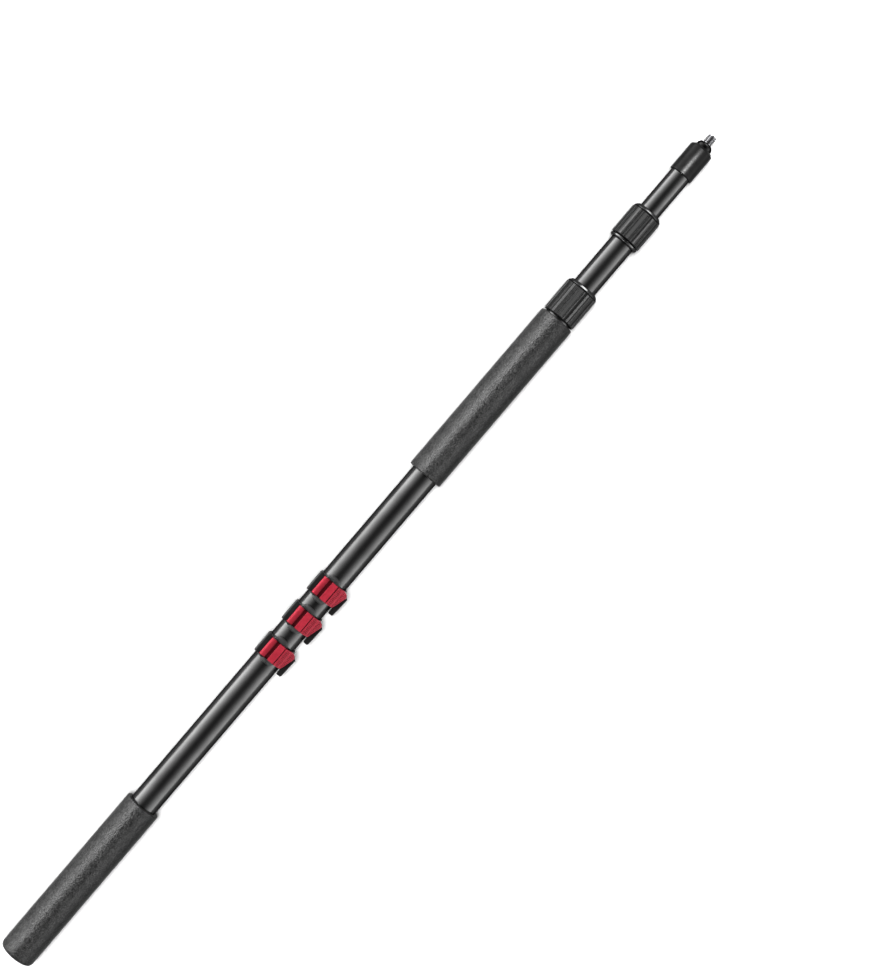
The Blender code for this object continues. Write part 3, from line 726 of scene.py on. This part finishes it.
def foam_shape(seed, rim):
    """A foam sleeve's slightly uneven skin; rim is the radius below which nothing moves."""
    def lift(x, angle, height, along, around):
        spot = Vector((x * along, math.cos(angle) * around, math.sin(angle) * around + seed))
        return height * noise.noise(spot)

    def shape(x, radius, angle):
        if radius < rim:
            return radius
        return radius + lift(x, angle, *FOAM_LUMPS) + lift(x, angle, *FOAM_GRAIN)
    return shape


def build_grips():
    bore = span("outer_tube")[2] + FOAM_SLIP
    start, end, radius = span("butt_grip")
    radius -= FOAM_ROOM
    outside = [(start + BUTT_DIMPLE, 0.0)]
    outside += [(start + along * MM, radius - down * MM) for along, down in BUTT_DOME]
    outside += [(end, radius), (end, bore)]
    outside = filled(rounded(outside, BUTT_CORNER, 5, closed=False), FOAM_PITCH)
    inside = [(start + BUTT_DEPTH, bore), (start + BUTT_DEPTH, 0.0)]
    skin = foam_shape(3.0, bore + MM)
    piece = lathe("butt_grip_foam", outside + inside, FOAM_STEPS, skin, closed=False)
    settle(piece, "foam", "outer_section", "butt_grip")

    start, end, radius = span("front_grip")
    radius -= FOAM_ROOM
    corners = [(start, bore), (start, radius), (end, radius), (end, bore)]
    outside = filled(rounded(corners, FOAM_CORNER, 5, closed=False), FOAM_PITCH)
    piece = lathe("front_grip_foam", outside, FOAM_STEPS, foam_shape(9.0, bore + MM))
    settle(piece, "foam", "outer_section", "front_grip")


# --- twist locks --------------------------------------------------------------------------

STEPS_PER_LOBE = 28
CROWN = 0.2 * MM                      # how far a lobe falls away from its middle to its valleys
RIB_PITCH = 1.35 * MM
RIB_HEIGHT = 0.1 * MM
RIDGES_PER_LOBE = 3.0
RIDGE_HEIGHT = 0.07 * MM
SLEEVE_RIM = 0.5 * MM                 # the lobes are cut above this much of the sleeve's wall
SLEEVE_BEVELS = ((0.7 * MM, 0.7 * MM), (0.8 * MM, 0.8 * MM))
SLEEVE_CORNER = 0.5 * MM
RIBBED_PITCH = 0.24 * MM
PLAIN_PITCH = 1.0 * MM
# (name, the tube it grips, lobes, lean in degrees, valley depth, valley width as a share of half a
# lobe, whether the lobes are ribbed)
COLLARS = (("lower", "middle_tube", 14, 2.3, 0.8 * MM, 0.16, True),
           ("upper", "inner_tube", 11, 2.8, 0.85 * MM, 0.17, False))
MOUTH_GAP = 0.6 * MM
BEZEL_LAND = 0.35 * MM
BEZEL_CORNER = 0.9 * MM
# (back from the tip end, down from the outside) in mm
BEZEL_SLOPE = ((0.7, 1.8), (0.2, 2.3), (0.0, 2.6))
STOP_BEVELS = ((1.0 * MM, 1.2 * MM), (0.8 * MM, 0.9 * MM))
STOP_CORNER = 0.3 * MM


def bevelled(start, end, outer, inner, butt, tip):
    """A sleeve's outline; butt and tip are each bevel's (length, depth)."""
    return [(start, inner), (start, outer - butt[1]), (start + butt[0], outer),
            (end - tip[0], outer), (end, outer - tip[1]), (end, inner)]


def fluted(count, phase_deg, depth, width, rim, ribbed):
    """A collar's lobes with narrow valleys between them, and fine ribs round the lobes."""
    def shape(x, radius, angle):
        if radius < rim:
            return radius
        lobe = (math.degrees(angle) - phase_deg) * count / 360.0
        from_valley = abs(lobe - round(lobe)) * 2.0
        valley = math.exp(-(from_valley / width) ** 2)
        crown = CROWN * (1.0 - from_valley) ** 2
        reach = radius - depth * valley - crown
        if ribbed:
            rib = 0.5 + 0.5 * math.cos(TURN * x / RIB_PITCH)
            ridge = 0.5 + 0.5 * math.cos(TURN * RIDGES_PER_LOBE * lobe)
            reach -= (RIB_HEIGHT * rib + RIDGE_HEIGHT * ridge) * (1.0 - valley)
        return reach
    return shape


def build_collar(prefix, tube, lobes, lean_deg, depth, width, ribbed):
    body = prefix + "_collar"
    start, end, radius = span(prefix + "_collar_grip")
    inner = span(prefix + "_collar_core")[2] + SLIP
    corners = bevelled(start, end, radius, inner, *SLEEVE_BEVELS)
    outline = filled(rounded(corners, SLEEVE_CORNER, 3, closed=False),
                     RIBBED_PITCH if ribbed else PLAIN_PITCH)
    phase_deg = 90.0 - lean_deg + 180.0 / lobes
    shape = fluted(lobes, phase_deg, depth, width, inner + SLEEVE_RIM, ribbed)
    piece = lathe(prefix + "_collar_sleeve", outline, lobes * STEPS_PER_LOBE, shape, sharp_deg=60.0)
    settle(piece, "rubber", body, prefix + "_collar_grip")

    start, end, radius = span(prefix + "_collar_bezel")
    mouth = span(tube)[2] + MOUTH_GAP
    corners = [(start, mouth), (start, radius), (start + BEZEL_LAND, radius)]
    corners += [(end - back * MM, radius - down * MM) for back, down in BEZEL_SLOPE]
    corners += [(end, mouth)]
    piece = lathe(prefix + "_collar_end_ring", rounded(corners, BEZEL_CORNER, 5))
    settle(piece, "black_alloy", body, prefix + "_collar_bezel")


def build_stop_ring():
    start, end, radius = span("middle_stop_ring")
    inner = span("middle_tube")[2] + SLIP
    corners = bevelled(start, end, radius, inner, *STOP_BEVELS)
    piece = lathe("middle_stop_ring_turned", rounded(corners, STOP_CORNER, 3))
    settle(piece, "black_alloy", "middle_section", "middle_stop_ring")


# --- tip ----------------------------------------------------------------------------------

TIP_BEVEL = 2.4 * MM
TIP_FACE = 1.2 * MM                   # flat ring left round the neck
TIP_END_WALL = 2.5 * MM
TIP_CORNER = 0.35 * MM
NECK_GAP = 0.2 * MM
NECK_STEPS = 96
NECK_CORNER = 1.1 * MM
NECK_DOME = (2.4 * MM, 1.9 * MM)      # (back from the seat, down from the neck's outside)
SEAT_TO_RIM = 2.05 * MM               # from the tip mount's point out to the neck's side
SHOULDER_BACK = 2.8 * MM              # the insert's shoulder, back from the sleeve's end
FLANGE_LENGTH = 3.0 * MM
FLANGE_STEP = 1.4 * MM
STUD_SLIP = 0.25 * MM
STUD_PITCH = INCH / 16
STUD_THREAD = 0.95 * MM               # height
STUD_STEPS = 72
STUD_SAMPLES = 64
STUD_RUN_IN = 0.2 * MM                # plain stud above the seat
STUD_RUN_OUT = 0.4 * MM
STUD_POINT = 0.5 * MM
STUD_CORE = 0.6                       # share of the root radius that the thread leaves alone
RIDGE_HALF = 0.44                     # half a ridge's foot, as a share of the pitch
RIDGE_FLAT = 1.15                     # above 1, a ridge has a flat top


def build_tip():
    start, end, radius = span("tip_sleeve")
    bore = span("inner_tube")[2] + SLIP
    neck = neck_radius()
    corners = [(start, bore), (start, radius), (end - TIP_BEVEL, radius), (end, neck + TIP_FACE),
               (end, neck + NECK_GAP), (end - TIP_END_WALL, neck + NECK_GAP),
               (end - TIP_END_WALL, bore)]
    piece = lathe("tip_sleeve_moulded", rounded(corners, TIP_CORNER, 3))
    settle(piece, "tip", "inner_section", "tip_sleeve")

    start, end, flange = span("tip_insert")
    stud = span("thread_stud")[2] + STUD_SLIP
    shoulder = span("tip_sleeve")[1] - SHOULDER_BACK
    plug = flange - FLANGE_STEP
    dome_length, dome_depth = NECK_DOME
    corners = [(start, stud), (start, plug), (shoulder - FLANGE_LENGTH, plug),
               (shoulder - FLANGE_LENGTH, flange), (shoulder, flange), (shoulder, neck),
               (end - dome_length, neck), (end, neck - dome_depth), (end, stud)]
    piece = lathe("tip_neck_turned", rounded(corners, NECK_CORNER, 5), NECK_STEPS)
    settle(piece, "neck", "inner_section", "tip_insert")
    build_stud(end)


def neck_radius():
    """The tip's seat stands on the neck; its mount is part way out across the face."""
    seat = next(mount for mount in frame["record"]["mounts"] if mount["name"] == "tip_seat")
    reach = abs(seat["pos_m"][1] - AXIS.y)
    return reach + SEAT_TO_RIM


def build_stud(seat):
    """The stud with a true helical thread, 16 turns to the inch."""
    start, end, radius = span("thread_stud")
    root = radius - STUD_THREAD

    def thread(x, reach, angle):
        if x < seat + STUD_RUN_IN or reach < STUD_CORE * root:
            return reach
        turn = (x / STUD_PITCH - angle / TURN) % 1.0
        ridge = max(0.0, 1.0 - abs(turn - 0.5) / RIDGE_HALF)
        fade = min(1.0, max(0.0, (x - seat - STUD_RUN_IN) / STUD_PITCH),
                   max(0.0, (end - x) / STUD_PITCH))
        return root + STUD_THREAD * min(1.0, RIDGE_FLAT * ridge) * fade

    outline = [(start, 0.0), (start, radius), (seat, radius)]
    length = end - STUD_RUN_OUT - seat - STUD_RUN_IN
    for index in range(STUD_SAMPLES + 1):
        outline.append((seat + STUD_RUN_IN + length * index / STUD_SAMPLES, root))
    outline += [(end, root - STUD_POINT), (end, 0.0)]
    piece = lathe("thread_stud_cut", outline, STUD_STEPS, thread, closed=False, sharp_deg=50.0)
    settle(piece, "steel", "inner_section", "thread_stud")


# --- cable clips --------------------------------------------------------------------------
# Sections are (y, z) and plans (x, y), in metres from the pole's axis and the clip's middle.

BAND_BORE = 14.15 * MM
BAND_OUT = 15.75 * MM
BAND_SIDE = 0.85 * MM                 # how far the band stands out beyond its latch, each side
BAND_CORNER = 0.5 * MM
BAND_EDGE = 0.35 * MM
BAND_STEPS = (60, 64)                 # outside, inside
ARM_END_DEG = 155.0
BLOCK_Y = 10.1 * MM
BLOCK_TOP = 19.0 * MM
BLOCK_SIDE = [(BLOCK_Y, BLOCK_TOP), (14.4 * MM, BLOCK_TOP), (BAND_OUT, 17.6 * MM),
              (BAND_OUT, 8.0 * MM)]
PIN_SPOT = (7.0 * MM, 21.6 * MM)
PIN_STEPS = 48
PIN_EDGE = 0.3 * MM
KNUCKLE = 2.8 * MM
KNUCKLE_ARC = (195, 450, 30)          # degrees from, degrees to, steps
CHEEK_MIDDLE = 10.75 * MM
CHEEK_HALF = 0.55 * MM
CHEEK_EDGE = 0.2 * MM
CHEEK_SIDE = arc(PIN_SPOT, 2.5 * MM, 20, 200, 20) + in_mm((6.6, 15.0), (11.6, 15.0), (11.6, 19.0))
TAIL_HEIGHT = 4.4 * MM
TAIL_HALF = 2.0 * MM
TAIL_EDGE = 0.6 * MM
TAIL_CORNER = 0.9 * MM
TAIL_PLAN = in_mm((-16.3, -15.6), (-15.4, -14.9), (-11.0, -15.0), (-10.0, -14.3), (-2.0, -14.3),
                  (-1.0, -16.6), (5.4, -19.8), (4.9, -21.2), (-15.2, -20.3), (-16.3, -19.5))
LATCH_CORNER = 0.4 * MM
LATCH_EDGE = 0.45 * MM
LATCH_FILL = 0.8 * MM
LATCH_PITCH = 0.17 * MM
LATCH_GROOVE = in_mm((3.6, 24.4), (3.6, 21.0), (0.1, 21.0), (0.1, 24.4))
LATCH_SEAM = in_mm((-6.8, 24.3), (-7.05, 22.9), (-7.45, 22.9), (-7.7, 24.0))
LATCH_SLOPE = in_mm((-8.8, 23.4), (-11.6, 20.6), (-14.2, 16.0), (-15.3, 11.5), (-15.4, 8.0))
LATCH_INSIDE = in_mm((-13.7, 8.0), (-13.4, 11.5), (-12.2, 15.2), (-10.0, 19.0), (-9.0, 20.5),
                     (-9.0, 22.3), (-0.2, 22.3), (-0.2, 20.4))
# (place along the pole, how far the latch's lower edge flares out there) in mm
LIP = ((-9.9, 0.0), (-8.0, 0.2), (5.8, 4.0), (8.4, 1.8), (9.9, -0.6))
FLARE_TOP = 14.0 * MM
FLARE_HEIGHT = 3.0 * MM
THUMB_START = (-7.8 * MM, 7.0 * MM)   # the thumb slope is beyond this y and above this z
THUMB_NORMAL = Vector((-0.82, 0.57))
THUMB_OUTSIDE_Y = -14.0 * MM
THUMB_OUTSIDE = (-11.5 * MM, 20.0 * MM, 1.1)    # (y, z, rise) of the line below the outer face
THUMB_PITCH = 1.7 * MM
THUMB_HEIGHT = 0.6 * MM
THUMB_HALF = 9.3 * MM
THUMB_END_FADE = 0.6 * MM
THUMB_TOP = -8.4 * MM
THUMB_TOP_FADE = 0.8 * MM
THUMB_VALLEY = 0.24                   # half a valley's width, as a share of the pitch
PAD_LIFT = 0.05 * MM
PAD_POWER = 2 / 3                     # 1 would be an ellipse; smaller is squarer
PAD_RINGS = 14
PAD_STEPS = 72
PAD_TOP = (0.95, 1.1)
# (share of the pad's plan, height in mm)
PAD_RIM = ((0.975, 1.0), (0.992, 0.75), (1.0, 0.45), (0.995, 0.0))
PAD_UNDER = (0.9, 0.6, 0.3, 0.05)


def section_at(x):
    def to_world(y, z, along):
        return (x + along, AXIS.y + y, AXIS.z + z)
    return to_world


def plan_at(x):
    def to_world(across, y, height):
        return (x + across, AXIS.y + y, AXIS.z + height)
    return to_world


def clip_band(prefix, x):
    low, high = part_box(prefix + "_latch")
    half = (high.x - low.x) / 2 + BAND_SIDE
    block_deg = math.degrees(math.acos(BLOCK_Y / BAND_BORE))
    outside, inside = BAND_STEPS
    outline = rounded(BLOCK_SIDE, BAND_CORNER, 4, closed=False)
    outline += arc((0.0, 0.0), BAND_OUT, 0, ARM_END_DEG - 360, outside)
    outline += arc((0.0, 0.0), BAND_BORE, ARM_END_DEG - 360, block_deg, inside)
    band = loft(prefix + "_band_moulded", outline, rounded_stations(-half, half, BAND_EDGE),
                section_at(x))
    stations = rounded_stations(TAIL_HEIGHT - TAIL_HALF, TAIL_HEIGHT + TAIL_HALF, TAIL_EDGE)
    tail = loft(prefix + "_tail", rounded(TAIL_PLAN, TAIL_CORNER, 5), stations, plan_at(x))
    cheeks = []
    for side in (-1, 1):
        centre = side * CHEEK_MIDDLE
        stations = rounded_stations(centre - CHEEK_HALF, centre + CHEEK_HALF, CHEEK_EDGE)
        cheeks.append(loft(prefix + "_cheek", CHEEK_SIDE, stations, section_at(x)))
    return union(band, tail, *cheeks)


def latch_lip(x):
    """How far the latch's lower edge flares out: most near the tip side, cut back at the corner."""
    for (x0, y0), (x1, y1) in zip(LIP, LIP[1:]):
        if x <= x1 * MM:
            t = max(0.0, (x / MM - x0) / (x1 - x0))
            return (y0 + (y1 - y0) * t) * MM
    return LIP[-1][1] * MM


def latch_shape(y, z, x):
    """Flares the lower edge and raises fine thumb ribs on the slope."""
    if y > THUMB_START[0] or z < THUMB_START[1]:
        return y, z
    line_y, line_z, rise = THUMB_OUTSIDE
    if y < THUMB_OUTSIDE_Y or z > line_z + (y - line_y) * rise:
        across = min(1.0, max(0.0, (THUMB_HALF - abs(x)) / THUMB_END_FADE))
        along = min(1.0, max(0.0, (THUMB_TOP - y) / THUMB_TOP_FADE))
        from_valley = abs(x / THUMB_PITCH - round(x / THUMB_PITCH))
        rib = 1.0 - math.exp(-(from_valley / THUMB_VALLEY) ** 4)
        lift = THUMB_HEIGHT * rib * across * along
        y += THUMB_NORMAL.x * lift
        z += THUMB_NORMAL.y * lift
    flare = min(1.0, max(0.0, (FLARE_TOP - z) / FLARE_HEIGHT))
    return y - latch_lip(x) * flare, z


def clip_latch(prefix, x):
    low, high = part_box(prefix + "_latch")
    half = (high.x - low.x) / 2
    corners = LATCH_GROOVE + LATCH_SEAM + LATCH_SLOPE + LATCH_INSIDE
    outline = arc(PIN_SPOT, KNUCKLE, *KNUCKLE_ARC)
    outline += filled(rounded(corners, LATCH_CORNER, 4, closed=False), LATCH_FILL)
    stations = rounded_stations(-half, half, LATCH_EDGE, pitch=LATCH_PITCH)
    return loft(prefix + "_latch_moulded", outline, stations, section_at(x), latch_shape, 50.0)


def clip_pad(prefix, x):
    """A thin curved pad whose plan is a superellipse, with a rounded rim."""
    low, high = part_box(prefix + "_pad")
    half_length = (high.x - low.x) / 2
    half_width = (high.y - low.y) / 2
    centre_y = (high.y + low.y) / 2 - AXIS.y
    under = BAND_BORE + PAD_LIFT
    bm = bmesh.new()

    def squared(value):
        return math.copysign(abs(value) ** PAD_POWER, value)

    def point(scale, step, reach):
        angle = TURN * step / PAD_STEPS
        across = squared(math.cos(angle)) * half_length * scale
        along = squared(math.sin(angle)) * half_width * scale
        lean = (centre_y + along) / under
        return (x + across, AXIS.y + reach * math.sin(lean), AXIS.z + reach * math.cos(lean))

    top_share, top_height = PAD_TOP
    loops = [(ring / PAD_RINGS * top_share, under + top_height * MM)
             for ring in range(1, PAD_RINGS + 1)]
    loops += [(scale, under + height * MM) for scale, height in PAD_RIM]
    loops += [(scale, under) for scale in PAD_UNDER]
    made = [[bm.verts.new(point(scale, step, reach)) for step in range(PAD_STEPS)]
            for scale, reach in loops]
    for first, second in zip(made, made[1:]):
        for step in range(PAD_STEPS):
            after = (step + 1) % PAD_STEPS
            bm.faces.new((first[step], first[after], second[after], second[step]))
    bm.faces.new(made[0])
    bm.faces.new(list(reversed(made[-1])))
    return new_object(prefix + "_pad_moulded", bm, 60.0)


def clip_pin(prefix, x):
    low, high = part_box(prefix + "_pin")
    half = (high.x - low.x) / 2
    radius = (high.z - low.z) / 2
    outline = arc(PIN_SPOT, radius, 0, 360 - 360 / PIN_STEPS, PIN_STEPS - 1)
    return loft(prefix + "_pin_turned", outline, rounded_stations(-half, half, PIN_EDGE),
                section_at(x))


def build_clips():
    for number in CLIPS:
        prefix = "clip_%d" % number
        x = middle(prefix + "_latch").x
        settle(clip_band(prefix, x), "plastic", prefix, prefix + "_band")
        settle(clip_pad(prefix, x), "pad", prefix, prefix + "_pad")
        settle(clip_pin(prefix, x), "steel", prefix, prefix + "_pin")
        settle(clip_latch(prefix, x), "red", prefix + "_latch", prefix + "_latch")


# --- nodes that keep their own shape ------------------------------------------------------

def dress_inner_nodes():
    """Pieces inside the locks and tubes, which show only when something is opened."""
    for look, nodes in (
            ("plastic", ("tube_end_plug", "lower_collar_core", "upper_collar_core")),
            ("alloy", ("lower_lock_ferrule", "upper_lock_ferrule")),
            ("steel", ("lower_thrust_washer", "upper_thrust_washer")),
            ("nylon", ("lower_collet", "upper_collet", "middle_guide_bush", "inner_guide_bush"))):
        for name in nodes:
            node = frame["nodes"][name]
            node.data.materials.clear()
            node.data.materials.append(LOOKS[look])


build_camera()
build_stage()
build_tube("outer_tube", "outer_section")
build_tube("middle_tube", "middle_section")
build_tube("inner_tube", "inner_section")
build_grips()
for collar in COLLARS:
    build_collar(*collar)
build_stop_ring()
build_tip()
build_clips()
dress_inner_nodes()
build_accents()
